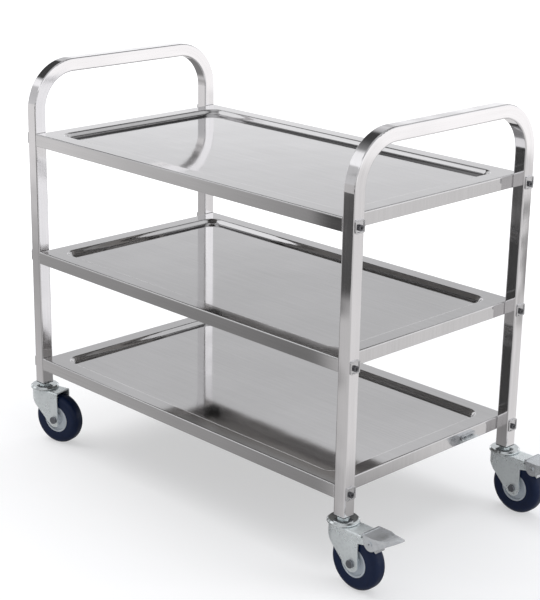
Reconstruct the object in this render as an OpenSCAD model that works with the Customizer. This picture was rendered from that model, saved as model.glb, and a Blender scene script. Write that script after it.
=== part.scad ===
// Three-tier serving trolley with two bent tube end frames, three pressed trays and four swivel casters.
// X runs along the length, Y across the width and Z up from the floor.

/* [Frame] */
// Length over the two end frames
frame_length = 850; // [700:10:1000]
// Width over the legs, which is also the width of a shelf
frame_width = 460; // [400:10:600]
// Height of the handles above the floor
handle_height = 766; // [745:1:900]
// Side of the square tube
tube_side = 25; // [22:0.5:30]
// Wall of the square tube
tube_wall = 1.2; // [1:0.1:2]
// Outer corner radius of the square tube
tube_corner = 2.5; // [2.2:0.1:4]
// Outer radius of the bends at the handles
bend_radius = 94; // [60:1:100]
// Height of the lower end of the legs above the floor
leg_foot = 121.5; // [121:0.5:126]

/* [Shelves] */
// Height of the lower edge of the bottom shelf
bottom_shelf_height = 151; // [150:1:170]
// Height of the lower edge of the middle shelf
middle_shelf_height = 373; // [340:1:400]
// Height of the lower edge of the top shelf
top_shelf_height = 607; // [560:1:620]
// Height of the skirt round each shelf
skirt_height = 24; // [22:1:34]
// Thickness of the sheet metal
sheet = 1; // [0.8:0.1:1.5]
// Width of the flat rim round each tray
rim_width = 30; // [28:1:50]
// Depth of the tray below its rim
tray_depth = 9; // [5:1:10]
// Corner radius of the tray at its rim
tray_corner = 28; // [20:1:50]
// Width of the sloping wall of the tray
tray_slope = 9; // [6:1:14]
// Outer radius of the fold between rim and skirt
edge_fold = 2.5; // [2:0.1:3]
// Width of the flange turned in under each skirt
hem_width = 10; // [8:1:20]
// Width of the top of a stiffening channel under a tray
stiffener_width = 34; // [20:1:60]
// Height of a stiffening channel
stiffener_depth = 10; // [6:1:10]
// Width of the glued flange on each side of a channel
stiffener_flange = 12; // [8:1:20]
// Distance between the two channels of a shelf
channel_distance = 180; // [120:10:240]

/* [Shelf fixings] */
// Thread diameter of the shelf bolts
shelf_bolt_d = 6; // [5:1:6]
// Height of a shelf bolt above the lower edge of its skirt
shelf_bolt_rise = 10; // [9:0.5:11]
// Side of the pressed plate on the outside of each leg
clamp_plate_side = 22; // [20:1:22]
// Corner radius of that plate
clamp_plate_corner = 3; // [2.5:0.5:5]
// Height of that plate at its rim
clamp_plate_height = 3; // [2:0.5:5]
// Thickness of the bracket inside each shelf corner
bracket_thickness = 2.5; // [2:0.5:3]
// Length of each arm of that bracket
bracket_arm = 24; // [22:1:26]

/* [Casters] */
// Wheel diameter
wheel_d = 102; // [96:1:102]
// Width of the tyre
tyre_width = 30; // [26:1:31]
// Diameter of the hub where the tyre starts
hub_d = 54; // [44:1:60]
// Distance of the axle behind the swivel axis
trail = 37; // [30:1:40]
// Diameter of the round cup over the swivel balls
cup_d = 56; // [52:1:60]
// Height of the upper face of the fork crown above the floor
crown_height = 109.5; // [109.5:0.5:112]
// Thickness of the fork plate
fork_plate = 2.5; // [2:0.5:3]
// Outside width of the fork
fork_width = 40; // [39:0.5:42]
// How far the crown of a plain fork reaches behind the swivel axis
crown_rear = 46; // [42:1:50]
// How far the crown of a braked fork reaches behind the swivel axis
brake_crown_rear = 58; // [56:1:59]
// Radius of the fork round the axle
axle_boss_r = 15; // [13:0.5:16]
// Diameter of the swivel pin
kingpin_d = 12; // [10:1:12]
// Diameter of the axle bolt
axle_d = 8; // [6:1:8]
// Outside diameter of the sleeve on the axle
sleeve_d = 12; // [11:0.5:14]
// Diameter of the swivel balls
ball_d = 4; // [3.5:0.5:4]
// Angle by which the front left caster stands turned
front_left_turn = 14; // [0:1:30]
// Number of swivel balls in each caster
ball_count = 18; // [8:1:20]

/* [Brake] */
// Distance of the pedal pivot behind the swivel axis
pivot_x = 79; // [78:0.5:81]
// Height of the pedal pivot above the floor
pivot_z = 102.5; // [101:0.5:103]
// Diameter of the pedal pivot
pivot_d = 6; // [5:0.5:6]
// How far the pedal reaches behind the swivel axis
pedal_reach = 131; // [126:1:136]
// Thickness of the pedal plate
pedal_plate = 2; // [1.5:0.5:2.5]
// Angle through which the pedal is pressed
pedal_travel = 14; // [10:1:16]
// Radius of the bead at the root of the pedal
pedal_roll_r = 3; // [2.5:0.5:3]
// Width of the rounded tip of the pedal
pedal_tip_width = 14; // [12:1:20]

/* [Hidden] */
$fn = 64;

// Clearances
running_fit = 0.05;
loose_fit = 0.3;
cut = 1;

// Leg and bend positions
leg_x = frame_length / 2 - tube_side / 2;
leg_y = frame_width / 2 - tube_side / 2;
bend_mid = bend_radius - tube_side / 2;
bend_start = handle_height - bend_radius;
// The origin lies under the middle of the whole trolley, and the pedals reach out past the right legs
middle_x = -(pedal_reach - cup_d / 2) / 2;

// Shelf
shelf_length = frame_length - 2 * tube_side;
pan_length = shelf_length - 2 * rim_width;
pan_width = frame_width - 2 * rim_width;
floor_under = skirt_height - tray_depth - sheet;
SHELF_HEIGHTS = [bottom_shelf_height, middle_shelf_height, top_shelf_height];
slope_steps = 10;

// Bolts through the legs
bolt_head_h = shelf_bolt_d * 0.6;
bolt_head_d = shelf_bolt_d * 1.7;
bolt_socket_d = shelf_bolt_d * 0.9;
bolt_hole_d = shelf_bolt_d + 2 * running_fit;
bolt_tail = 2;
nut_h = shelf_bolt_d * 0.8;
nut_side_d = shelf_bolt_d * 1.8;
clamp_rim = 2;
clamp_floor = clamp_plate_height / 2;
// Corner bracket, seen from the axis of the leg
bracket_x = -tube_side / 2 - sheet;
bracket_y = tube_side / 2 - sheet;
bracket_low = sheet - shelf_bolt_rise;
bracket_tall = skirt_height - sheet - edge_fold;

// Caster
wheel_r = wheel_d / 2;
axle_at = [trail, wheel_r];
crown_under = crown_height - fork_plate;
fork_half = fork_width / 2;
fork_inner = fork_half - fork_plate;
front_centre = -6;
front_reach = fork_half - front_centre;
crown_fold = 4;
crown_rear_drop = 8;
front_drop = 17;
rear_edge = trail + axle_boss_r - 1;
kingpin_hole_d = kingpin_d + 2 * running_fit;
kingpin_head_r = kingpin_d / 2 + 4;
kingpin_head_h = 3;
cup_r = cup_d / 2;
cup_plate = 1.5;
cup_inner_r = cup_r - cup_plate;
cup_bevel = 3;
cup_low = crown_height + 1;
ball_circle_r = cup_inner_r - ball_d / 2 - 4;
ball_z = crown_height + loose_fit + ball_d / 2;
race_r = ball_circle_r + ball_d / 2 + 1;
cup_ceiling = ball_z + ball_d / 2 + loose_fit;
cup_top = cup_ceiling + cup_plate;
socket_flange = 1.5;
socket_length = 30;
socket_side = tube_side - 2 * tube_wall - 2 * running_fit;
stem_top = leg_foot + socket_length - 4;
lock_nut_d = 21;
lock_nut_h = leg_foot - socket_flange - cup_top;
thread_depth = 0.5;
hub_width = tyre_width - 3;
hub_boss_r = sleeve_d / 2 + 5;
hub_boss_half = fork_inner - loose_fit;
hub_dish = 5;
hub_lip = 4;
hub_draft = 1;
shoulder_r = 11;
tyre_lip = 1.5;
axle_head_h = 4;
axle_head_d = axle_d * 1.8;

// Brake
pivot_at = [pivot_x, pivot_z];
lobe_r = pivot_d / 2 + 2;
arch_height = crown_height - 17;
flange_lobe_r = pivot_d / 2 + 10;
flange_in = fork_half + loose_fit;
flange_out = flange_in + pedal_plate;
bead_x = brake_crown_rear + 1.5 + pedal_roll_r;
bead_z = crown_height + loose_fit + pedal_roll_r;
bead_half = fork_half - 1;
pedal_taper_x = pivot_x + lobe_r + 3;
pedal_kick_x = pivot_x + 20;
pedal_level = crown_height + 4.5;
pedal_lift = 6.5;
pedal_tip = [pedal_reach, pedal_level + pedal_lift];
pedal_tip_r = pedal_tip_width / 2 - 2;
tip_angle = 70;
shoe_half = tyre_width / 2 - 4;
shoe_width = 12;
// The shoe points from the pivot half way between straight down and the axle
shoe_lean = atan2(pivot_x - trail, pivot_z - wheel_r) / 2;
pivot_bore_d = pivot_d / 2;
pivot_head_h = 1.6;
pivot_head_d = pivot_d + 3;

// Flat helpers

function arc(centre, r, from, to, steps) =
    [for (i = [0 : steps]) let (a = from + (to - from) * i / steps) centre + r * [cos(a), sin(a)]];

// Point where a line from p touches a circle, on the side given by the sign
function tangent(p, centre, r, side) =
    let (
        d = norm(centre - p),
        toward = atan2(centre[1] - p[1], centre[0] - p[0]),
        half = asin(r / d),
        reach = sqrt(d * d - r * r)
    )
    p + reach * [cos(toward + side * half), sin(toward + side * half)];

module rounded_rectangle(length, width, r) {
    square([length - 2 * r, width], center = true);
    square([length, width - 2 * r], center = true);
    for (sx = [-1, 1], sy = [-1, 1])
        translate([sx * (length / 2 - r), sy * (width / 2 - r)])
            circle(r = r);
}

module round_topped(width, height, r) {
    translate([-width / 2, 0])
        square([width, height - r]);
    translate([-width / 2 + r, 0])
        square([width - 2 * r, height]);
    for (side = [-1, 1])
        translate([side * (width / 2 - r), height - r])
            circle(r = r);
}

// Solid helpers

module along_x(length)
    translate([-length / 2, 0, 0])
        rotate([90, 0, 90])
            linear_extrude(height = length)
                children();

module along_y(length)
    translate([0, length / 2, 0])
        rotate([90, 0, 0])
            linear_extrude(height = length)
                children();

module rod_x(d, length)
    rotate([0, 90, 0])
        cylinder(d = d, h = length, center = true);

module rod_y(d, length)
    rotate([90, 0, 0])
        cylinder(d = d, h = length, center = true);

module from_middle()
    translate([middle_x, 0, 0])
        children();

// Angle by which the caster under a leg stands turned
function rest_turn(end, side) = end < 0 && side < 0 ? front_left_turn : 0;

// Puts a caster, drawn on its swivel axis and trailing along +X, under one leg
module under_leg(end, side)
    from_middle()
        translate([end * leg_x, side * leg_y, 0])
            rotate([0, 0, rest_turn(end, side)])
                mirror([0, side > 0 ? 1 : 0, 0])
                    children();

// End frames

module tube_section()
    difference() {
        rounded_rectangle(tube_side, tube_side, tube_corner);
        rounded_rectangle(tube_side - 2 * tube_wall, tube_side - 2 * tube_wall, tube_corner - tube_wall);
    }

module half_frame() {
    translate([0, leg_y, leg_foot])
        linear_extrude(height = bend_start - leg_foot)
            tube_section();
    translate([0, leg_y - bend_mid, bend_start])
        rotate([90, 0, 90])
            rotate_extrude(angle = 90)
                translate([bend_mid, 0])
                    tube_section();
}

module end_frame(end)
    color([0.78, 0.78, 0.79])
        from_middle()
            translate([end * leg_x, 0, 0])
                difference() {
                    union() {
                        half_frame();
                        mirror([0, 1, 0])
                            half_frame();
                        translate([0, 0, handle_height - tube_side / 2])
                            along_y(2 * (leg_y - bend_mid))
                                tube_section();
                    }
                    for (z = SHELF_HEIGHTS, side = [-1, 1])
                        translate([0, side * leg_y, z + shelf_bolt_rise])
                            rod_x(bolt_hole_d, tube_side + 2 * cut);
                }

// Shelves

module folded_block(length, width, height, r)
    intersection() {
        along_x(length)
            round_topped(width, height, r);
        along_y(width)
            round_topped(length, height, r);
    }

function slope_point(i) =
    let (s = i / slope_steps)
    [tray_corner - tray_slope * s, skirt_height - tray_depth * (1 - cos(180 * s)) / 2];

module slope_section()
    polygon(concat(
        [for (i = [0 : slope_steps]) slope_point(i)],
        [for (i = [slope_steps : -1 : 0]) slope_point(i) - [0, sheet]]
    ));

// Carries a section round the four sides and corners of the tray
module round_tray() {
    half_x = pan_length / 2 - tray_corner;
    half_y = pan_width / 2 - tray_corner;
    for (side = [0, 1]) {
        mirror([side, 0, 0])
            translate([half_x, 0, 0])
                along_y(2 * half_y)
                    children();
        mirror([0, side, 0])
            rotate([0, 0, 90])
                translate([half_y, 0, 0])
                    along_y(2 * half_x)
                        children();
        for (end = [0, 1])
            mirror([side, 0, 0])
                mirror([0, end, 0])
                    translate([half_x, half_y, 0])
                        rotate_extrude(angle = 90)
                            children();
    }
}

module shelf_skin()
    difference() {
        folded_block(shelf_length, frame_width, skirt_height, edge_fold);
        translate([0, 0, -cut])
            folded_block(shelf_length - 2 * sheet, frame_width - 2 * sheet,
                skirt_height - sheet + cut, edge_fold - sheet);
        linear_extrude(height = skirt_height + cut)
            rounded_rectangle(pan_length, pan_width, tray_corner);
        for (end = [-1, 1], side = [-1, 1])
            translate([end * shelf_length / 2, side * leg_y, shelf_bolt_rise])
                rod_x(bolt_hole_d, 4 * sheet);
    }

module hem()
    linear_extrude(height = sheet)
        difference() {
            square([shelf_length - sheet, frame_width - sheet], center = true);
            square([shelf_length - 2 * hem_width, frame_width - 2 * hem_width], center = true);
        }

module shelf(height)
    color([0.8, 0.8, 0.82])
        from_middle()
            translate([0, 0, height]) {
                shelf_skin();
                hem();
                round_tray()
                    slope_section();
                translate([0, 0, floor_under])
                    linear_extrude(height = sheet)
                        rounded_rectangle(pan_length - 2 * tray_slope, pan_width - 2 * tray_slope,
                            tray_corner - tray_slope);
            }

module stiffener_section() {
    wall = stiffener_width / 2;
    foot = wall + stiffener_flange;
    translate([-foot, 0])
        square([stiffener_flange, sheet]);
    translate([wall, 0])
        square([stiffener_flange, sheet]);
    for (x = [-wall, wall - sheet])
        translate([x, sheet - stiffener_depth])
            square([sheet, stiffener_depth]);
    translate([-wall, sheet - stiffener_depth])
        square([stiffener_width, sheet]);
}

module stiffeners(height)
    color([0.7, 0.7, 0.72])
        from_middle()
            for (side = [-1, 1])
                translate([0, side * channel_distance / 2, height + floor_under - sheet])
                    along_x(pan_length - 4 * tray_slope)
                        stiffener_section();

// Shelf fixings

// Draws a fixing four times, on the leg axes at the height of the shelf bolts.
// The fixing is drawn for the right end, with +X outward, and for the back leg.
module at_each_leg(height)
    from_middle()
        for (end = [0, 1], side = [0, 1])
            mirror([end, 0, 0])
                mirror([0, side, 0])
                    translate([leg_x, leg_y, height + shelf_bolt_rise])
                        children();

module corner_brackets(height)
    color([0.66, 0.67, 0.68])
        at_each_leg(height)
            difference() {
                translate([bracket_x, bracket_y, bracket_low])
                    linear_extrude(height = bracket_tall)
                        mirror([1, 1])
                            union() {
                                square([bracket_thickness, bracket_arm]);
                                square([bracket_arm, bracket_thickness]);
                            }
                translate([bracket_x, 0, 0])
                    rod_x(bolt_hole_d, 4 * bracket_thickness);
            }

module clamp_plates(height)
    color([0.72, 0.73, 0.75])
        at_each_leg(height)
            translate([tube_side / 2, 0, skirt_height / 2 - shelf_bolt_rise])
                rotate([0, 90, 0])
                    difference() {
                        linear_extrude(height = clamp_plate_height)
                            rounded_rectangle(clamp_plate_side, clamp_plate_side, clamp_plate_corner);
                        translate([0, 0, clamp_floor])
                            linear_extrude(height = clamp_plate_height)
                                rounded_rectangle(clamp_plate_side - 2 * clamp_rim,
                                    clamp_plate_side - 2 * clamp_rim, clamp_plate_corner - clamp_rim);
                        translate([skirt_height / 2 - shelf_bolt_rise, 0, 0])
                            cylinder(d = bolt_hole_d, h = 4 * clamp_plate_height, center = true);
                    }

module shelf_bolt() {
    seat = tube_side / 2 + clamp_floor;
    inner_end = tube_side / 2 + sheet + bracket_thickness;
    tail = inner_end + nut_h + bolt_tail;
    rotate([0, 90, 0]) {
        difference() {
            translate([0, 0, seat])
                cylinder(d = bolt_head_d, h = bolt_head_h);
            translate([0, 0, seat + bolt_head_h / 2])
                cylinder(d = bolt_socket_d, h = bolt_head_h, $fn = 6);
        }
        translate([0, 0, -tail])
            cylinder(d = shelf_bolt_d, h = seat + tail);
        translate([0, 0, -inner_end - nut_h])
            cylinder(d = nut_side_d, h = nut_h, $fn = 6);
    }
}

module shelf_bolts(height)
    color([0.25, 0.25, 0.27])
        at_each_leg(height)
            shelf_bolt();

// Casters, each drawn on its swivel axis with the wheel trailing along +X

module caster_sockets()
    color([0.2, 0.2, 0.22])
        from_middle()
            for (end = [-1, 1], side = [-1, 1])
                translate([end * leg_x, side * leg_y, leg_foot])
                    difference() {
                        union() {
                            translate([0, 0, -socket_flange])
                                linear_extrude(height = socket_flange)
                                    rounded_rectangle(tube_side, tube_side, tube_corner);
                            linear_extrude(height = socket_length)
                                rounded_rectangle(socket_side, socket_side, tube_corner - tube_wall);
                        }
                        cylinder(d = kingpin_hole_d, h = 4 * socket_length, center = true);
                    }

module stem()
    color([0.75, 0.77, 0.78]) {
        low = crown_under - loose_fit - kingpin_head_h;
        translate([0, 0, low])
            cylinder(r = kingpin_head_r, h = kingpin_head_h);
        translate([0, 0, low])
            cylinder(d = kingpin_d, h = stem_top - low);
        translate([0, 0, cup_top])
            difference() {
                cylinder(d = lock_nut_d, h = lock_nut_h, $fn = 6);
                cylinder(d = kingpin_d - 2 * thread_depth, h = 4 * lock_nut_h, center = true);
            }
    }

// The cup is a dished disc with a bevelled shoulder and a short skirt round the balls
module swivel_cup()
    color([0.72, 0.74, 0.76])
        rotate_extrude()
            polygon([
                [kingpin_hole_d / 2, cup_ceiling],
                [cup_inner_r - cup_bevel, cup_ceiling], [cup_inner_r, cup_ceiling - cup_bevel],
                [cup_inner_r, cup_low], [cup_r, cup_low], [cup_r, cup_top - cup_bevel],
                [cup_r - cup_bevel, cup_top], [kingpin_hole_d / 2, cup_top]
            ]);

module swivel_balls()
    color([0.6, 0.6, 0.62])
        for (i = [0 : ball_count - 1])
            rotate([0, 0, 360 * i / ball_count])
                translate([ball_circle_r, 0, ball_z])
                    sphere(d = ball_d);

// Section through the folded crown and one cheek, at its distance from the middle of the fork
module fork_section() {
    inner_fold = crown_fold - fork_plate;
    polygon(concat(
        [[0, crown_under]],
        arc([fork_inner - inner_fold, crown_under - inner_fold], inner_fold, 90, 0, 6),
        [[fork_inner, 0], [fork_half, 0]],
        arc([fork_half - crown_fold, crown_height - crown_fold], crown_fold, 0, 90, 8),
        [[0, crown_height]]
    ));
}

module fork_shell(rear) {
    translate([front_centre, 0, 0])
        rotate([0, 0, 90])
            rotate_extrude(angle = 180)
                fork_section();
    for (side = [0, 1])
        mirror([0, side, 0])
            translate([(front_centre + rear) / 2, 0, 0])
                along_x(rear - front_centre)
                    fork_section();
}

// Side view of a plain fork
module cheek_outline() {
    front = [-front_reach, crown_height - front_drop];
    rear = [rear_edge, wheel_r + axle_boss_r];
    translate(axle_at)
        circle(r = axle_boss_r);
    polygon([
        [-front_reach, crown_height], front, tangent(front, axle_at, axle_boss_r, -1),
        axle_at, tangent(rear, axle_at, axle_boss_r, 1), rear,
        [crown_rear, crown_height - crown_rear_drop], [crown_rear, crown_height]
    ]);
}

// Side view of a braked fork, whose cheeks reach back as two arms to the pedal pivot
module braked_outline() {
    upper = [brake_crown_rear, crown_height - crown_fold];
    arch = [rear_edge, arch_height];
    cheek_outline();
    translate(pivot_at)
        circle(r = lobe_r);
    polygon([
        [0, crown_height], [brake_crown_rear, crown_height], upper,
        tangent(upper, pivot_at, lobe_r, 1), pivot_at, tangent(arch, pivot_at, lobe_r, -1),
        arch, [rear_edge, wheel_r + axle_boss_r], axle_at
    ]);
}

module fork(braked)
    color([0.68, 0.71, 0.72])
        difference() {
            union() {
                intersection() {
                    fork_shell(braked ? pivot_x + lobe_r : crown_rear);
                    along_y(2 * fork_width)
                        if (braked)
                            braked_outline();
                        else
                            cheek_outline();
                }
                translate([0, 0, crown_under])
                    cylinder(r = race_r, h = fork_plate);
            }
            cylinder(d = kingpin_hole_d, h = 3 * crown_height, center = true);
            translate([trail, 0, wheel_r])
                rod_y(axle_d + 2 * running_fit, 2 * fork_width);
            if (braked) {
                translate([brake_crown_rear, -fork_inner, 0])
                    cube([pedal_reach, 2 * fork_inner, crown_height + cut]);
                translate([pivot_x, 0, pivot_z])
                    rod_y(pivot_d + 2 * running_fit, 2 * fork_width);
            }
        }

module axle()
    color([0.55, 0.56, 0.58])
        translate([trail, 0, wheel_r]) {
            rod_y(axle_d, fork_width + 2 * axle_head_h);
            translate([0, -fork_half - axle_head_h / 2, 0])
                rod_y(axle_head_d, axle_head_h);
            translate([0, fork_half + axle_head_h / 2, 0])
                rotate([90, 0, 0])
                    difference() {
                        cylinder(d = axle_head_d, h = axle_head_h, center = true, $fn = 6);
                        cylinder(d = axle_d - 2 * thread_depth, h = 2 * axle_head_h, center = true);
                    }
        }

module axle_sleeve()
    color([0.5, 0.5, 0.52])
        translate([trail, 0, wheel_r])
            difference() {
                rod_y(sleeve_d, 2 * fork_inner);
                rod_y(axle_d + 2 * running_fit, 3 * fork_width);
            }

// Sections of the wheel, at their distance from the axle, across the width of the wheel

module hub_section() {
    rim = hub_d / 2;
    half = hub_width / 2;
    bore = sleeve_d / 2 + running_fit;
    web = half - hub_dish;
    side = [
        [bore, hub_boss_half], [hub_boss_r, hub_boss_half], [hub_boss_r + hub_draft, web],
        [rim - hub_lip, web + hub_draft], [rim - hub_lip + hub_draft, half], [rim, half]
    ];
    polygon(concat(side, [for (i = [5 : -1 : 0]) [side[i][0], -side[i][1]]]));
}

module tyre_section() {
    half = tyre_width / 2;
    rim = hub_d / 2;
    polygon(concat(
        [[rim, half - tyre_lip], [rim + tyre_lip, half]],
        arc([wheel_r - shoulder_r, half - shoulder_r], shoulder_r, 90, 0, 12),
        arc([wheel_r - shoulder_r, shoulder_r - half], shoulder_r, 0, -90, 12),
        [[rim + tyre_lip, -half], [rim, tyre_lip - half]]
    ));
}

module round_axle()
    translate([trail, 0, wheel_r])
        rotate([90, 0, 0])
            rotate_extrude($fn = 96)
                children();

module hub()
    color([0.78, 0.8, 0.82])
        round_axle()
            hub_section();

module tyre()
    color([0.07, 0.09, 0.18])
        round_axle()
            tyre_section();

// Brakes

// Side view of everything under the upper face of the pedal, down to a depth below its level middle
module under_pedal_top(depth)
    polygon([
        [bead_x, pedal_level], [pedal_kick_x, pedal_level], pedal_tip,
        pedal_tip - [0, depth], [pedal_kick_x, pedal_level - depth], [bead_x, pedal_level - depth]
    ]);

// Pedal from above, drawn in by an inset: full width from its root over the pivot, then a taper to the tip
module pedal_plan(inset) {
    tip_x = pedal_reach - pedal_tip_r;
    tip_y = pedal_tip_width / 2 - pedal_tip_r;
    half = flange_out - inset;
    polygon(concat(
        [[bead_x, half], [pedal_taper_x, half]],
        arc([tip_x, tip_y], pedal_tip_r - inset, tip_angle, 0, 6),
        arc([tip_x, -tip_y], pedal_tip_r - inset, 0, -tip_angle, 6),
        [[pedal_taper_x, -half], [bead_x, -half]]
    ));
}

// Side view of the flange that is folded down along both edges of the pedal and carries the pivot
module pedal_flange() {
    root = [bead_x, pedal_level];
    heel = pedal_tip - [0, pedal_plate];
    intersection() {
        union() {
            translate(pivot_at)
                circle(r = flange_lobe_r);
            polygon([
                root, tangent(root, pivot_at, flange_lobe_r, -1), pivot_at,
                tangent(heel, pivot_at, flange_lobe_r, 1), heel, pedal_tip
            ]);
        }
        under_pedal_top(pedal_level);
    }
}

module pedal_shell() {
    intersection() {
        along_y(4 * flange_out)
            under_pedal_top(pedal_plate);
        linear_extrude(height = 2 * pedal_level)
            pedal_plan(0);
    }
    intersection() {
        along_y(4 * flange_out)
            pedal_flange();
        linear_extrude(height = 2 * pedal_level)
            difference() {
                pedal_plan(0);
                pedal_plan(pedal_plate);
            }
    }
    translate([bead_x, 0, bead_z])
        rod_y(2 * pedal_roll_r, 2 * bead_half);
}

// Turns its children about the pedal pivot by an angle, which is positive as the pedal goes down
module about_pivot(angle)
    translate([pivot_x, 0, pivot_z])
        rotate([0, angle, 0])
            translate([-pivot_x, 0, -pivot_z])
                children();

// The shoe is shaped against the tyre with the pedal pressed, then turned back to the released pedal
module brake_shoe()
    intersection() {
        about_pivot(-pedal_travel)
            difference() {
                about_pivot(shoe_lean)
                    translate([pivot_x - shoe_width / 2, -shoe_half, 0])
                        cube([shoe_width, 2 * shoe_half, 2 * pivot_z]);
                translate([trail, 0, wheel_r])
                    rod_y(wheel_d + 4 * loose_fit, 4 * shoe_half);
            }
        translate([0, -shoe_half, wheel_r])
            cube([pedal_reach, 2 * shoe_half, pedal_level - pedal_plate / 2 - wheel_r]);
    }

module brake_pedal()
    color([0.72, 0.73, 0.74])
        difference() {
            union() {
                pedal_shell();
                brake_shoe();
            }
            translate([pivot_x, 0, pivot_z])
                rod_y(pivot_d + 2 * running_fit, 4 * fork_width);
        }

// The pivot is a hollow rivet
module pedal_pin()
    color([0.5, 0.5, 0.52])
        translate([pivot_x, 0, pivot_z])
            difference() {
                union() {
                    rod_y(pivot_d, 2 * (flange_out + loose_fit));
                    for (side = [-1, 1])
                        translate([0, side * (flange_out + loose_fit + pivot_head_h / 2), 0])
                            rod_y(pivot_head_d, pivot_head_h);
                }
                rod_y(pivot_bore_d, 4 * flange_out);
            }

end_frame(-1);  // left_end_frame
end_frame(1);  // right_end_frame
shelf(top_shelf_height);  // top_shelf
shelf(middle_shelf_height);  // middle_shelf
shelf(bottom_shelf_height);  // bottom_shelf
stiffeners(top_shelf_height);  // top_shelf_stiffeners
stiffeners(middle_shelf_height);  // middle_shelf_stiffeners
stiffeners(bottom_shelf_height);  // bottom_shelf_stiffeners
corner_brackets(top_shelf_height);  // top_corner_brackets
corner_brackets(middle_shelf_height);  // middle_corner_brackets
corner_brackets(bottom_shelf_height);  // bottom_corner_brackets
clamp_plates(top_shelf_height);  // top_clamp_plates
clamp_plates(middle_shelf_height);  // middle_clamp_plates
clamp_plates(bottom_shelf_height);  // bottom_clamp_plates
shelf_bolts(top_shelf_height);  // top_shelf_bolts
shelf_bolts(middle_shelf_height);  // middle_shelf_bolts
shelf_bolts(bottom_shelf_height);  // bottom_shelf_bolts
caster_sockets();
under_leg(-1, -1) stem();  // front_left_stem
under_leg(1, -1) stem();  // front_right_stem
under_leg(-1, 1) stem();  // rear_left_stem
under_leg(1, 1) stem();  // rear_right_stem
under_leg(-1, -1) swivel_cup();  // front_left_swivel_cup
under_leg(1, -1) swivel_cup();  // front_right_swivel_cup
under_leg(-1, 1) swivel_cup();  // rear_left_swivel_cup
under_leg(1, 1) swivel_cup();  // rear_right_swivel_cup
under_leg(-1, -1) swivel_balls();  // front_left_swivel_balls
under_leg(1, -1) swivel_balls();  // front_right_swivel_balls
under_leg(-1, 1) swivel_balls();  // rear_left_swivel_balls
under_leg(1, 1) swivel_balls();  // rear_right_swivel_balls
under_leg(-1, -1) fork(false);  // front_left_fork
under_leg(1, -1) fork(true);  // front_right_fork
under_leg(-1, 1) fork(false);  // rear_left_fork
under_leg(1, 1) fork(true);  // rear_right_fork
under_leg(-1, -1) axle();  // front_left_axle
under_leg(1, -1) axle();  // front_right_axle
under_leg(-1, 1) axle();  // rear_left_axle
under_leg(1, 1) axle();  // rear_right_axle
under_leg(-1, -1) axle_sleeve();  // front_left_axle_sleeve
under_leg(1, -1) axle_sleeve();  // front_right_axle_sleeve
under_leg(-1, 1) axle_sleeve();  // rear_left_axle_sleeve
under_leg(1, 1) axle_sleeve();  // rear_right_axle_sleeve
under_leg(-1, -1) hub();  // front_left_hub
under_leg(1, -1) hub();  // front_right_hub
under_leg(-1, 1) hub();  // rear_left_hub
under_leg(1, 1) hub();  // rear_right_hub
under_leg(-1, -1) tyre();  // front_left_tyre
under_leg(1, -1) tyre();  // front_right_tyre
under_leg(-1, 1) tyre();  // rear_left_tyre
under_leg(1, 1) tyre();  // rear_right_tyre
under_leg(1, -1) brake_pedal();  // front_right_brake_pedal
under_leg(1, 1) brake_pedal();  // rear_right_brake_pedal
under_leg(1, -1) pedal_pin();  // front_right_pedal_pin
under_leg(1, 1) pedal_pin();  // rear_right_pedal_pin
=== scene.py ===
"""Dresses the three-tier serving trolley: a finish for every piece, the studio round it and the camera."""

import math

import bpy
from mathutils import Matrix, Vector


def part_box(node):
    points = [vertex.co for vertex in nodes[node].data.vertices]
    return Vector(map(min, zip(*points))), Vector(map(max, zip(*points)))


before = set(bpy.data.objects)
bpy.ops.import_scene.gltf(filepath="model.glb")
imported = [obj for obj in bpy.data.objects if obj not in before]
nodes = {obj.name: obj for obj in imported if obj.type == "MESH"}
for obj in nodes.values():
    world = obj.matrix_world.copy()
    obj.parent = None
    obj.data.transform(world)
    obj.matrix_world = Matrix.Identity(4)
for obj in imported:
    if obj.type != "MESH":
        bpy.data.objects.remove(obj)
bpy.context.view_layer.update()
CORNERS = ("front_left", "front_right", "rear_left", "rear_right")
RIGHT_CORNERS = ("front_right", "rear_right")
SHELVES = ("top", "middle", "bottom")


# Node helpers


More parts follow.
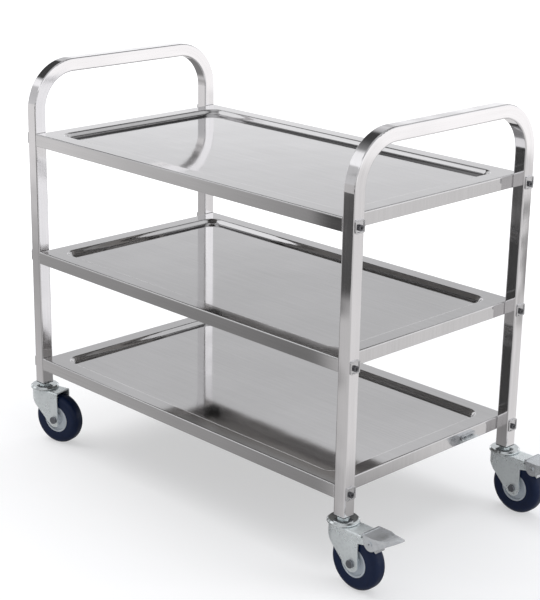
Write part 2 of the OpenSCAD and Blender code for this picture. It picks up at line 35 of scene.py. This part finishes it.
class Nodes:
    """A node tree that is being built, with short calls for the nodes it needs."""

    def __init__(self, tree):
        self.tree = tree
        self.place = self.node("ShaderNodeTexCoord")

    def node(self, kind, **settings):
        """Adds a node of a kind, with its settings."""
        made = self.tree.nodes.new(kind)
        for key, value in settings.items():
            setattr(made, key, value)
        return made

    def feed(self, socket, value):
        """Links a socket to another one, or gives it a number."""
        if isinstance(value, bpy.types.NodeSocket):
            self.tree.links.new(value, socket)
        else:
            socket.default_value = value

    def maths(self, operation, *values):
        """Result of one sum, on each point of the surface."""
        made = self.node("ShaderNodeMath", operation=operation)
        for socket, value in zip(made.inputs, values):
            self.feed(socket, value)
        return made.outputs[0]

    def split(self, vector):
        """The three parts of a vector."""
        made = self.node("ShaderNodeSeparateXYZ")
        self.feed(made.inputs[0], vector)
        return made.outputs

    def join(self, x, y, z):
        """A vector of three parts."""
        made = self.node("ShaderNodeCombineXYZ")
        for socket, value in zip(made.inputs, (x, y, z)):
            self.feed(socket, value)
        return made.outputs[0]

    def length(self, x, y):
        """Length of a vector in a plane."""
        made = self.node("ShaderNodeVectorMath", operation="LENGTH")
        self.feed(made.inputs[0], self.join(x, y, 0.0))
        return made.outputs["Value"]

    def noise(self, vector, scale=1.0, detail=3.0, rough=0.5):
        """Soft random values about a half."""
        made = self.node("ShaderNodeTexNoise")
        self.feed(made.inputs["Vector"], vector)
        made.inputs["Scale"].default_value = scale
        made.inputs["Detail"].default_value = detail
        made.inputs["Roughness"].default_value = rough
        return made.outputs["Fac"]

    def remap(self, value, low, high, to_low, to_high, soft=False):
        """Carries one range of values over to another, and stays at its ends outside it."""
        made = self.node("ShaderNodeMapRange", interpolation_type="SMOOTHSTEP" if soft else "LINEAR")
        for socket, number in zip(made.inputs, (value, low, high, to_low, to_high)):
            self.feed(socket, number)
        return made.outputs[0]

    def blend(self, factor, first, second):
        """Mixes two colours."""
        made = self.node("ShaderNodeMix", data_type="RGBA")
        self.feed(made.inputs["Factor"], factor)
        for key, value in (("A", first), ("B", second)):
            socket = [s for s in made.inputs if s.name == key and s.type == "RGBA"][0]
            self.feed(socket, (*value, 1.0) if isinstance(value, tuple) else value)
        return [s for s in made.outputs if s.type == "RGBA"][0]

    def mix_values(self, factor, first, second):
        """Mixes two numbers."""
        made = self.node("ShaderNodeMix")
        for key, value in (("Factor", factor), ("A", first), ("B", second)):
            self.feed(made.inputs[key], value)
        return made.outputs["Result"]

    def mix_shaders(self, factor, first, second):
        """Mixes two shaders."""
        made = self.node("ShaderNodeMixShader")
        for socket, value in zip(made.inputs, (factor, first, second)):
            self.feed(socket, value)
        return made.outputs[0]


class Finish(Nodes):
    """The material of some pieces: a name, a base colour, how metallic and how rough it is."""

    def __init__(self, name, colour, metallic, roughness):
        self.material = bpy.data.materials.new(name)
        self.material.use_nodes = True
        super().__init__(self.material.node_tree)
        self.shader = self.tree.nodes["Principled BSDF"]
        self.shader.inputs["Metallic"].default_value = metallic
        self.colour = colour
        self.roughness = roughness

    def tinted(self, amount, factor):
        """The base colour, darker where the factor is low and lighter where it is high."""
        low = tuple(c * (1 - amount) for c in self.colour)
        high = tuple(min(1.0, c * (1 + amount)) for c in self.colour)
        return self.blend(factor, low, high)

    def bump(self, height, strength, distance, under=None):
        """Normal of a relief of a height in metres, over another normal where one is given."""
        made = self.node("ShaderNodeBump")
        made.inputs["Strength"].default_value = strength
        made.inputs["Distance"].default_value = distance
        self.feed(made.inputs["Height"], height)
        if under is not None:
            self.feed(made.inputs["Normal"], under)
        return made.outputs[0]

    def edge(self, radius):
        """One along the edges of the piece and nought on its faces, and the rounded normal there."""
        soft = self.node("ShaderNodeBevel", samples=4)
        soft.inputs["Radius"].default_value = radius
        hard = self.node("ShaderNodeNewGeometry")
        product = self.node("ShaderNodeVectorMath", operation="DOT_PRODUCT")
        self.feed(product.inputs[0], soft.outputs[0])
        self.feed(product.inputs[1], hard.outputs["Normal"])
        return self.remap(product.outputs["Value"], 1.0, 0.8, 0.0, 1.0), soft.outputs[0]

    def drawn_out(self, along, across_a, across_b, coarse, fine, detail, rough=0.5):
        """Noise in lines that run along the grain."""
        stretched = self.join(
            self.maths("MULTIPLY", along, coarse),
            self.maths("MULTIPLY", across_a, fine),
            self.maths("MULTIPLY", across_b, fine))
        return self.noise(stretched, detail=detail, rough=rough)

    def finish(self, colour, roughness, normal):
        """Feeds the shader and gives the finished material."""
        self.feed(self.shader.inputs["Base Color"], colour)
        self.feed(self.shader.inputs["Roughness"], roughness)
        self.feed(self.shader.inputs["Normal"], normal)
        return self.material


# Finishes

# Width of the band along the edges of steel pieces, and of small plated and moulded ones, whose colour is
# lightened for wear and as a painted highlight
STEEL_EDGE = 0.0012
SMALL_EDGE = 0.0009
# Lighter colour of the edges of steel pieces: wear and a painted highlight
WEAR_AND_HIGHLIGHT_STEEL = (0.93, 0.93, 0.94)
# Darker colour of the undersides of the trays: duller steel and painted shade
DULL_SHADED_STEEL = (0.30, 0.29, 0.28)
# Lighter colour of the edges of plated pieces: wear and a painted highlight
WEAR_AND_HIGHLIGHT_ZINC = (0.88, 0.90, 0.92)
TYRE_DUST = (0.06, 0.065, 0.08)
# Outer radius of the bends of the end frames
BEND_RADIUS = 0.094


def grained(finish, along, across_a, across_b, grain, highlight_and_wear, waviness):
    """Metal with brushed grain: fine lines, broader streaks, cloudy handling marks and edges lightened for
    wear and as a painted highlight.
    """
    fine = finish.drawn_out(along, across_a, across_b, coarse=9.0, fine=900.0, detail=4.0, rough=0.6)
    streak = finish.drawn_out(along, across_a, across_b, coarse=7.0, fine=240.0, detail=3.0)
    cloud = finish.noise(finish.place.outputs["Object"], scale=7.0, detail=3.0)
    edge, rounded = finish.edge(STEEL_EDGE)
    marks = finish.maths("ADD", streak, cloud)
    rough = finish.maths("MULTIPLY", finish.remap(marks, 0.6, 1.4, 0.75, 1.25), finish.roughness)
    mixed = finish.maths("MULTIPLY_ADD", streak, 0.5, finish.maths("MULTIPLY", cloud, 0.5))
    colour = finish.tinted(0.04, finish.remap(mixed, 0.35, 0.65, 0.0, 1.0))
    # The edges are lightened for wear and as a painted highlight
    colour = finish.blend(finish.maths("MULTIPLY", edge, highlight_and_wear), colour, WEAR_AND_HIGHLIGHT_STEEL)
    wave = finish.noise(finish.place.outputs["Object"], scale=11.0, detail=1.0)
    normal = finish.bump(wave, waviness, 0.01, rounded)
    normal = finish.bump(fine, grain, 0.0004, normal)
    return colour, rough, normal


def tube_steel():
    """Polished square tube, with its grain carried up the legs and round the bends of the handle."""
    finish = Finish("tube_steel", (0.94, 0.93, 0.94), metallic=1.0, roughness=0.08)
    x, y, z = finish.split(finish.place.outputs["Object"])
    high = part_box("left_end_frame")[1]
    side = finish.maths("SUBTRACT", finish.maths("ABSOLUTE", y), high.y - BEND_RADIUS)
    rise = finish.maths("SUBTRACT", z, high.z - BEND_RADIUS)
    reach = finish.length(finish.maths("MAXIMUM", side, 0.0), finish.maths("MAXIMUM", rise, 0.0))
    along = finish.maths("SUBTRACT", z, finish.maths("ABSOLUTE", y))
    return finish.finish(*grained(finish, along, x, reach, grain=0.03, highlight_and_wear=0.5, waviness=0.2))


def sheet_steel():
    """Brushed tray sheet, with its grain along the shelf and down over the end skirts, and duller below,
    darkened there in painted shade.
    """
    finish = Finish("sheet_steel", (0.79, 0.785, 0.79), metallic=1.0, roughness=0.07)
    x, y, z = finish.split(finish.place.outputs["Object"])
    facing = finish.split(finish.place.outputs["Normal"])
    end = finish.maths("ABSOLUTE", facing[0])
    drop = finish.maths("MULTIPLY", z, finish.remap(end, 0.6, 0.8, 1.0, 0.01))
    colour, rough, normal = grained(finish, x, y, drop, grain=0.01, highlight_and_wear=0.6, waviness=0.02)
    # Faces that look down are duller and darker: painted shade
    below = finish.remap(facing[2], -0.5, -0.8, 0.0, 1.0)
    colour = finish.blend(below, colour, DULL_SHADED_STEEL)
    rough = finish.maths("MULTIPLY_ADD", below, 0.3, rough)
    return finish.finish(colour, rough, normal)


def inner_steel():
    """Mill finish of the parts under the trays."""
    finish = Finish("inner_steel", (0.42, 0.42, 0.42), metallic=1.0, roughness=0.36)
    x, y, z = finish.split(finish.place.outputs["Object"])
    return finish.finish(*grained(finish, x, y, z, grain=0.06, highlight_and_wear=0.3, waviness=0.15))


def pressed_steel():
    """Bright pressed plate, with its grain upright."""
    finish = Finish("pressed_steel", (0.74, 0.74, 0.75), metallic=1.0, roughness=0.22)
    x, y, z = finish.split(finish.place.outputs["Object"])
    return finish.finish(*grained(finish, z, x, y, grain=0.05, highlight_and_wear=0.5, waviness=0.3))


def plated(name, colour, metallic, roughness, spangle, highlight_and_wear):
    """Zinc plate: a soft crystal mottling, cloudy roughness and edges lightened for wear and as a painted
    highlight.
    """
    finish = Finish(name, colour, metallic, roughness)
    place = finish.place.outputs["Object"]
    crystal = finish.node("ShaderNodeTexVoronoi", feature="F1")
    finish.feed(crystal.inputs["Vector"], place)
    crystal.inputs["Scale"].default_value = 170.0
    cloud = finish.noise(place, scale=38.0, detail=4.0, rough=0.6)
    grit = finish.noise(place, scale=700.0, detail=2.0)
    edge, rounded = finish.edge(SMALL_EDGE)
    tone = finish.maths("MULTIPLY_ADD", crystal.outputs["Distance"], spangle, cloud)
    mottled = finish.tinted(0.09, finish.remap(tone, 0.35, 0.85, 0.0, 1.0))
    # The edges are lightened for wear and as a painted highlight
    mottled = finish.blend(finish.maths("MULTIPLY", edge, highlight_and_wear), mottled, WEAR_AND_HIGHLIGHT_ZINC)
    rough = finish.maths("MULTIPLY", roughness, finish.remap(cloud, 0.3, 0.7, 0.7, 1.3))
    normal = finish.bump(grit, 0.025, 0.0006, finish.bump(cloud, 0.05, 0.002, rounded))
    return finish.finish(mottled, rough, normal)


def moulded(name, colour, roughness, edge_colour, highlight_and_wear):
    """Moulded plastic: fine leather-like grain and rubbed edges, lighter also as a painted highlight."""
    finish = Finish(name, colour, metallic=0.0, roughness=roughness)
    place = finish.place.outputs["Object"]
    grain = finish.noise(place, scale=900.0, detail=3.0, rough=0.7)
    cloud = finish.noise(place, scale=45.0, detail=4.0)
    edge, rounded = finish.edge(SMALL_EDGE)
    mottled = finish.tinted(0.10, finish.remap(cloud, 0.3, 0.7, 0.0, 1.0))
    # The edges are lighter from rubbing and as a painted highlight
    mottled = finish.blend(finish.maths("MULTIPLY", edge, highlight_and_wear), mottled, edge_colour)
    rough = finish.maths("MULTIPLY_ADD", cloud, 0.16, roughness - 0.08)
    return finish.finish(mottled, rough, finish.bump(grain, 0.12, 0.0005, rounded))


def tyre_rubber():
    """Blue-black rubber with a dusty tread and fine scuffs round the wheel."""
    finish = Finish("tyre_rubber", (0.002, 0.011, 0.046), metallic=0.0, roughness=0.42)
    finish.shader.inputs["Specular IOR Level"].default_value = 0.3
    place = finish.place.outputs["Object"]
    facing = finish.maths("ABSOLUTE", finish.split(finish.place.outputs["Normal"])[1])
    tread = finish.remap(facing, 0.75, 0.15, 0.0, 1.0)
    dust = finish.noise(place, scale=60.0, detail=5.0, rough=0.65)
    dusty = finish.maths("MULTIPLY", tread, finish.remap(dust, 0.5, 0.8, 0.0, 0.22))
    colour = finish.blend(dusty, finish.tinted(0.25, dust), TYRE_DUST)
    rough = finish.maths("MULTIPLY_ADD", dusty, 0.5, finish.maths("MULTIPLY_ADD", dust, 0.2, 0.30))
    pebble = finish.noise(place, scale=520.0, detail=2.0)
    return finish.finish(colour, rough, finish.bump(pebble, 0.15, 0.0006))


# Dressing


def dress(names, material):
    """Gives the named nodes one material."""
    for name in names:
        piece = nodes[name]
        piece.data.materials.clear()
        piece.data.materials.append(material)
        for face in piece.data.polygons:
            face.material_index = 0


def each_corner(*parts):
    """Names of these parts at all four corners."""
    return [f"{corner}_{part}" for part in parts for corner in CORNERS]


def each_shelf(*parts):
    """Names of these parts at all three shelves."""
    return [f"{shelf}_{part}" for part in parts for shelf in SHELVES]


def dress_frame():
    """Finishes of the end frames, the shelves and what holds them together."""
    dark_bolt = plated("dark_bolt", (0.13, 0.13, 0.14), metallic=0.9, roughness=0.42, spangle=0.3, highlight_and_wear=0.25)
    dress(["left_end_frame", "right_end_frame"], tube_steel())
    dress(each_shelf("shelf"), sheet_steel())
    dress(each_shelf("shelf_stiffeners", "corner_brackets"), inner_steel())
    dress(each_shelf("clamp_plates"), pressed_steel())
    dress(each_shelf("shelf_bolts"), dark_bolt)


def dress_casters():
    """Finishes of the casters, their sockets and their brakes."""
    zinc = (0.86, 0.91, 0.93)
    # The edges of the plated pieces are lightened for wear and as a painted highlight, fully on the cups
    zinc_plate = plated("zinc_plate", zinc, metallic=0.7, roughness=0.3, spangle=0.5, highlight_and_wear=0.7)
    cup_plate = plated("cup_plate", zinc, metallic=0.95, roughness=0.17, spangle=0.3, highlight_and_wear=1.0)
    pedal_zinc = plated("pedal_zinc", (0.78, 0.81, 0.84), metallic=0.9, roughness=0.2, spangle=0.3, highlight_and_wear=0.9)
    axle_steel = plated("axle_steel", (0.20, 0.21, 0.23), metallic=0.9, roughness=0.36, spangle=0.4, highlight_and_wear=0.5)
    ball_steel = plated("ball_steel", (0.75, 0.76, 0.78), metallic=1.0, roughness=0.2, spangle=0.1, highlight_and_wear=0.0)
    # Lighter edge colours of the plastics: rubbing and a painted highlight
    rubbed_highlit_black = (0.09, 0.09, 0.1)
    rubbed_highlit_grey = (0.68, 0.71, 0.74)
    socket_plastic = moulded("socket_plastic", (0.03, 0.03, 0.035), 0.5, rubbed_highlit_black, highlight_and_wear=0.5)
    hub_plastic = moulded("hub_plastic", (0.56, 0.60, 0.64), 0.42, rubbed_highlit_grey, highlight_and_wear=0.4)
    dress(["caster_sockets"], socket_plastic)
    dress(each_corner("swivel_balls"), ball_steel)
    dress(each_corner("stem", "fork"), zinc_plate)
    dress(each_corner("swivel_cup"), cup_plate)
    dress(each_corner("axle", "axle_sleeve"), axle_steel)
    dress(each_corner("hub"), hub_plastic)
    dress(each_corner("tyre"), tyre_rubber())
    dress([f"{corner}_brake_pedal" for corner in RIGHT_CORNERS], pedal_zinc)
    dress([f"{corner}_pedal_pin" for corner in RIGHT_CORNERS], pedal_zinc)


# Studio

WHITE = 1.0
DARK = (0.05, 0.05, 0.05)
# Share of red and green in the light of the room beside its blue
WARM = 0.985
# Where the front of what is mirrored ends and its back starts: along y, in metres and in parts of a direction
FRONT_ENDS, BACK_STARTS = -0.4, 0.1


def seen_in_mirrors(tree):
    """One for rays off a glossy surface or through a clear one, and one for rays of the camera."""
    path = tree.node("ShaderNodeLightPath")
    glossy = path.outputs["Is Glossy Ray"]
    return tree.maths("MAXIMUM", glossy, path.outputs["Is Transmission Ray"]), path.outputs["Is Camera Ray"]


# Room

# Colour and strength of the light of the room on the trolley
ROOM_COLOUR = (0.95, 0.97, 1.0, 1.0)
ROOM_LIGHT = 0.55
# Brightness of the room in reflections, by the sine of the height above the horizon, behind and in front
BEHIND = ((0.0, 1.0), (0.17, 1.0), (0.22, 0.76), (0.30, 0.54), (0.37, 0.54), (0.44, 0.68), (0.62, 0.44),
          (0.68, 0.05), (0.77, 0.05), (0.85, 0.45), (1.0, 0.55))
IN_FRONT = ((0.0, 0.55), (0.20, 0.50), (0.40, 0.50), (0.44, 0.95), (0.67, 0.90), (0.71, 0.28), (0.77, 0.28),
            (0.85, 0.45), (1.0, 0.55))
# How much higher the same brightness lies behind at the far right
RAISED_RIGHT = 0.2
# Direction of the dark cloth in front, with the cosines of the angle off it where the cloth ends and is full
CLOTH = (-0.588, -0.809)
CLOTH_ENDS, CLOTH_FULL = 0.9945, 0.998
# Sine of the height of its middle, and half its height up to where it starts and ends to fade
CLOTH_MIDDLE = 0.31
CLOTH_HALF = (0.09, 0.13)
# The dark opening high on the left, in parts of a direction: its middle, half its width, left side and foot
OPENING_MIDDLE = 0.08
OPENING_HALF = (0.30, 0.38)
OPENING_LEFT = (-0.72, -0.76)
OPENING_FOOT = (0.38, 0.44)


def by_height(tree, up, levels):
    """Light of the room, with its brightness by the height above the horizon."""
    ramp = tree.node("ShaderNodeValToRGB")
    stops = ramp.color_ramp.elements
    while len(stops) < len(levels):
        stops.new(0.5)
    for stop, (height, level) in zip(stops, levels):
        stop.position = height
        stop.color = (level * WARM, level * WARM, level, 1.0)
    tree.feed(ramp.inputs["Fac"], up)
    return ramp.outputs["Color"]


def dark_cloth(tree, x, y, up):
    """One where a direction meets the narrow dark cloth in front of the trolley."""
    ahead = tree.maths("MULTIPLY_ADD", x, CLOTH[0], tree.maths("MULTIPLY", y, CLOTH[1]))
    toward = tree.maths("DIVIDE", ahead, tree.length(x, y))
    off_middle = tree.maths("ABSOLUTE", tree.maths("SUBTRACT", up, CLOTH_MIDDLE))
    wide = tree.remap(toward, CLOTH_ENDS, CLOTH_FULL, 0.0, 1.0, soft=True)
    return tree.maths("MULTIPLY", wide, tree.remap(off_middle, *CLOTH_HALF, 1.0, 0.0))


def dark_opening(tree, x, y, up):
    """One where a direction meets the dark opening high on the left."""
    off_middle = tree.maths("ABSOLUTE", tree.maths("SUBTRACT", y, OPENING_MIDDLE))
    wide = tree.remap(off_middle, *OPENING_HALF, 1.0, 0.0)
    left = tree.maths("MULTIPLY", tree.remap(x, *OPENING_LEFT, 0.0, 1.0, soft=True), wide)
    return tree.maths("MULTIPLY", left, tree.remap(up, *OPENING_FOOT, 0.0, 1.0))


def room_in_mirrors(tree):
    """Light of the room in reflections: bright behind and dark above, with a cloth and an opening."""
    x, y, up = tree.split(tree.place.outputs["Generated"])
    forward = tree.remap(y, BACK_STARTS, FRONT_ENDS, 0.0, 1.0, soft=True)
    lowered = tree.maths("MULTIPLY_ADD", tree.maths("MAXIMUM", x, 0.0), -RAISED_RIGHT, up)
    seen = tree.blend(forward, by_height(tree, lowered, BEHIND), by_height(tree, up, IN_FRONT))
    for covered in (dark_cloth(tree, x, y, up), dark_opening(tree, x, y, up)):
        seen = tree.blend(covered, seen, DARK)
    return seen


def surroundings():
    """A pale room: plain light on the trolley, white to the camera, and with its own look in reflections."""
    world = bpy.data.worlds.new("studio")
    bpy.context.scene.world = world
    world.use_nodes = True
    world.node_tree.nodes.clear()
    tree = Nodes(world.node_tree)
    lit = tree.node("ShaderNodeBackground")
    lit.inputs["Color"].default_value = ROOM_COLOUR
    lit.inputs["Strength"].default_value = ROOM_LIGHT
    mirrored = tree.node("ShaderNodeBackground")
    tree.feed(mirrored.inputs["Color"], room_in_mirrors(tree))
    white = tree.node("ShaderNodeBackground")
    white.inputs["Color"].default_value = (WHITE, WHITE, WHITE, 1.0)
    in_mirror, to_camera = seen_in_mirrors(tree)
    shown = tree.mix_shaders(to_camera, lit.outputs[0], white.outputs[0])
    shown = tree.mix_shaders(in_mirror, shown, mirrored.outputs[0])
    tree.feed(tree.node("ShaderNodeOutputWorld").inputs["Surface"], shown)


# Floor

FLOOR_SIZE = 40.0
FLOOR_COLOUR = (0.82, 0.82, 0.83, 1.0)
# To the camera the floor is partly lit, in this colour, and partly glows, with this strength at the trolley
LIT_COLOUR = (0.5, 0.5, 0.51, 1.0)
GLOW_NEAR = 0.5
# Distances from the trolley at which the glow starts to rise to white and has done so
FADE_STARTS, FADE_ENDS = 0.7, 2.6
# Brightness of the floor in reflections: of its pale, shaded and dark patches, and of the part behind
PALE_PATCH, SHADED_PATCH, DARK_PATCH = 0.50, 0.24, 0.07
FLOOR_BEHIND = 0.68
# Places on it are taken across the diagonal, as x less y, and along it, as x and y together. Each pair holds
# where a change starts and where it ends
PALE_TO_SHADED = (-0.7, 0.5)
LEFT_TO_RIGHT = (0.55, 0.66)
# Ends of the dark patch along the diagonal, and the brightness that is added beyond its far end
DARK_NEAR_END = (-2.0, -1.65)
DARK_FAR_END = (-4.3, -3.5)
BEYOND_DARK = 0.40
# Line of the dimmer band in front, half its width, and the shares of brightness on it and away from it
BAND_AT = -0.95
BAND_HALF = (0.05, 0.8)
BAND_SHARES = (0.77, 1.35)
# Middle of the shaded patch behind, across and along it, how far it leans, and what its width and length are
# multiplied by to make it a circle, which fades between two radii
SHADE_ACROSS, SHADE_ALONG = 0.2, 3.012
SHADE_LEAN = 0.16
SHADE_WIDTH, SHADE_LENGTH = 8.3, 0.83
SHADE_RADII = (0.6, 1.0)
# Distance at which the distant floor takes over, and the places along y between which that one turns white
DISTANT = (2.9, 3.6)
WHITENS = (0.0, 2.0)
# Dim round patch on the left, with its radii and its share of brightness
DIM_LEFT = (-1.4, 0.3)
DIM_LEFT_RADII = (0.5, 0.9)
DIM_LEFT_SHARE = 0.3
# Dim oval below the trolley, a painted shadow of it: what its length is multiplied by to make it a circle,
# its radii and its share
BELOW_LENGTH = 0.55
BELOW_RADII = (0.2, 0.5)
BELOW_SHARE = 0.35


def floor_in_front(tree, y, across, along):
    """Pale to shaded floor with a dimmer band, and a dark patch to the right."""
    band = tree.maths("ABSOLUTE", tree.maths("SUBTRACT", y, BAND_AT))
    left = tree.maths("MULTIPLY", tree.remap(across, *PALE_TO_SHADED, PALE_PATCH, SHADED_PATCH),
                      tree.remap(band, *BAND_HALF, *BAND_SHARES))
    near = tree.remap(along, *DARK_NEAR_END, DARK_PATCH, PALE_PATCH, soft=True)
    right = tree.maths("ADD", near, tree.remap(along, *DARK_FAR_END, BEYOND_DARK, 0.0, soft=True))
    return tree.mix_values(tree.remap(across, *LEFT_TO_RIGHT, 0.0, 1.0, soft=True), left, right)


def floor_behind(tree, across, along):
    """Bright floor with one long shaded patch that lies aslant."""
    slant = tree.maths("MULTIPLY_ADD", along, SHADE_LEAN, across)
    wide = tree.maths("MULTIPLY", tree.maths("SUBTRACT", slant, SHADE_ACROSS), SHADE_WIDTH)
    long = tree.maths("MULTIPLY", tree.maths("SUBTRACT", along, SHADE_ALONG), SHADE_LENGTH)
    return tree.remap(tree.length(wide, long), *SHADE_RADII, SHADED_PATCH, FLOOR_BEHIND, soft=True)


def floor_in_mirrors(tree):
    """Brightness of the floor in reflections: patches in front, bright behind, dim on the left, and dim below
    in a painted shadow of the trolley.
    """
    x, y, z = tree.split(tree.place.outputs["Object"])
    across = tree.maths("SUBTRACT", x, y)
    along = tree.maths("ADD", x, y)
    backward = tree.remap(y, FRONT_ENDS, BACK_STARTS, 0.0, 1.0, soft=True)
    in_front = floor_in_front(tree, y, across, along)
    level = tree.mix_values(backward, in_front, floor_behind(tree, across, along))
    distant = tree.mix_values(tree.remap(y, *WHITENS, 0.0, 1.0), level, WHITE)
    away = tree.remap(tree.length(x, y), *DISTANT, 0.0, 1.0, soft=True)
    level = tree.mix_values(away, level, distant)
    off_left = tree.length(tree.maths("SUBTRACT", x, DIM_LEFT[0]), tree.maths("SUBTRACT", y, DIM_LEFT[1]))
    left = tree.remap(off_left, *DIM_LEFT_RADII, DIM_LEFT_SHARE, 1.0, soft=True)
    # Painted shadow of the trolley on the floor below it
    off_middle = tree.length(tree.maths("MULTIPLY", x, BELOW_LENGTH), y)
    below = tree.remap(off_middle, *BELOW_RADII, BELOW_SHARE, 1.0, soft=True)
    return tree.maths("MULTIPLY", tree.maths("MULTIPLY", level, left), below)


def floor():
    """A pale floor that keeps the shadow and fades to white away from the trolley."""
    bpy.ops.mesh.primitive_plane_add(size=FLOOR_SIZE)
    plane = bpy.context.object
    plane.name = "floor"
    material = bpy.data.materials.new("floor")
    material.use_nodes = True
    material.node_tree.nodes.clear()
    tree = Nodes(material.node_tree)
    matt = tree.node("ShaderNodeBsdfDiffuse")
    matt.inputs["Color"].default_value = FLOOR_COLOUR
    x, y, z = tree.split(tree.place.outputs["Object"])
    glow = tree.node("ShaderNodeEmission")
    fade = tree.remap(tree.length(x, y), FADE_STARTS, FADE_ENDS, GLOW_NEAR, WHITE, soft=True)
    tree.feed(glow.inputs["Strength"], fade)
    shaded = tree.node("ShaderNodeBsdfDiffuse")
    shaded.inputs["Color"].default_value = LIT_COLOUR
    both = tree.node("ShaderNodeAddShader")
    tree.feed(both.inputs[0], shaded.outputs[0])
    tree.feed(both.inputs[1], glow.outputs[0])
    mirrored = tree.node("ShaderNodeEmission")
    mirrored.inputs["Color"].default_value = (1.0, WARM, WARM, 1.0)
    tree.feed(mirrored.inputs["Strength"], floor_in_mirrors(tree))
    in_mirror, to_camera = seen_in_mirrors(tree)
    shown = tree.mix_shaders(to_camera, matt.outputs[0], both.outputs[0])
    shown = tree.mix_shaders(in_mirror, shown, mirrored.outputs[0])
    tree.feed(tree.node("ShaderNodeOutputMaterial").inputs["Surface"], shown)
    plane.data.materials.append(material)


# Lamps

# Point that the lamps are aimed at
LAMPS_AIM = (0.0, 0.0, 0.4)


def soft_lamp(name, at, size, power, colour):
    """A soft rectangular lamp that points at the trolley and doesn't show in reflections."""
    data = bpy.data.lights.new(name, "AREA")
    data.shape = "RECTANGLE"
    data.size, data.size_y = size
    data.energy = power
    data.color = colour
    lamp = bpy.data.objects.new(name, data)
    bpy.context.scene.collection.objects.link(lamp)
    lamp.location = at
    lamp.rotation_euler = (Vector(LAMPS_AIM) - Vector(at)).to_track_quat("-Z", "Y").to_euler()
    lamp.visible_camera = False
    lamp.visible_glossy = False


def lamps():
    """A key lamp from the left, a wide one above and a weak one from behind on the right."""
    soft_lamp("key", at=(-1.6, -0.6, 2.4), size=(1.6, 1.6), power=34.0, colour=(1.0, 0.99, 0.97))
    soft_lamp("top", at=(0.2, 0.5, 2.6), size=(2.2, 1.6), power=30.0, colour=(1.0, 1.0, 1.0))
    soft_lamp("fill", at=(2.4, 1.2, 1.4), size=(1.2, 1.6), power=14.0, colour=(0.94, 0.96, 1.0))


# Camera

# The picture is taller than it is wide, so the sensor's width lies along its height
FOCAL_PIXELS = 1564.0
FRAME_HEIGHT = 600
SENSOR = 36.0
# Place of the camera from the point on the floor under the middle of the two end frames
CAMERA_FROM_MIDDLE = (2.0005, -1.9636, 1.2659)
YAW, PITCH, ROLL = 0.7923, -0.3169, 0.0167


def camera():
    """Stands where the photograph was taken from, with a slight roll."""
    data = bpy.data.cameras.new("camera")
    data.sensor_width = SENSOR
    data.lens = FOCAL_PIXELS * SENSOR / FRAME_HEIGHT
    data.clip_end = 60.0
    made = bpy.data.objects.new("camera", data)
    bpy.context.scene.collection.objects.link(made)
    ahead = Vector((-math.sin(YAW) * math.cos(PITCH), math.cos(YAW) * math.cos(PITCH), math.sin(PITCH)))
    right = ahead.cross(Vector((0, 0, 1))).normalized()
    up = right.cross(ahead)
    turned_right = math.cos(ROLL) * right + math.sin(ROLL) * up
    turned_up = math.cos(ROLL) * up - math.sin(ROLL) * right
    axes = Matrix((turned_right, turned_up, -ahead)).transposed().to_4x4()
    middle_x = (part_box("left_end_frame")[0].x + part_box("right_end_frame")[1].x) / 2
    at = Vector(CAMERA_FROM_MIDDLE) + Vector((middle_x, 0.0, 0.0))
    made.matrix_world = Matrix.Translation(at) @ axes
    bpy.context.scene.camera = made


dress_frame()
dress_casters()
surroundings()
floor()
lamps()
camera()
bpy.context.scene.view_settings.view_transform = "Standard"
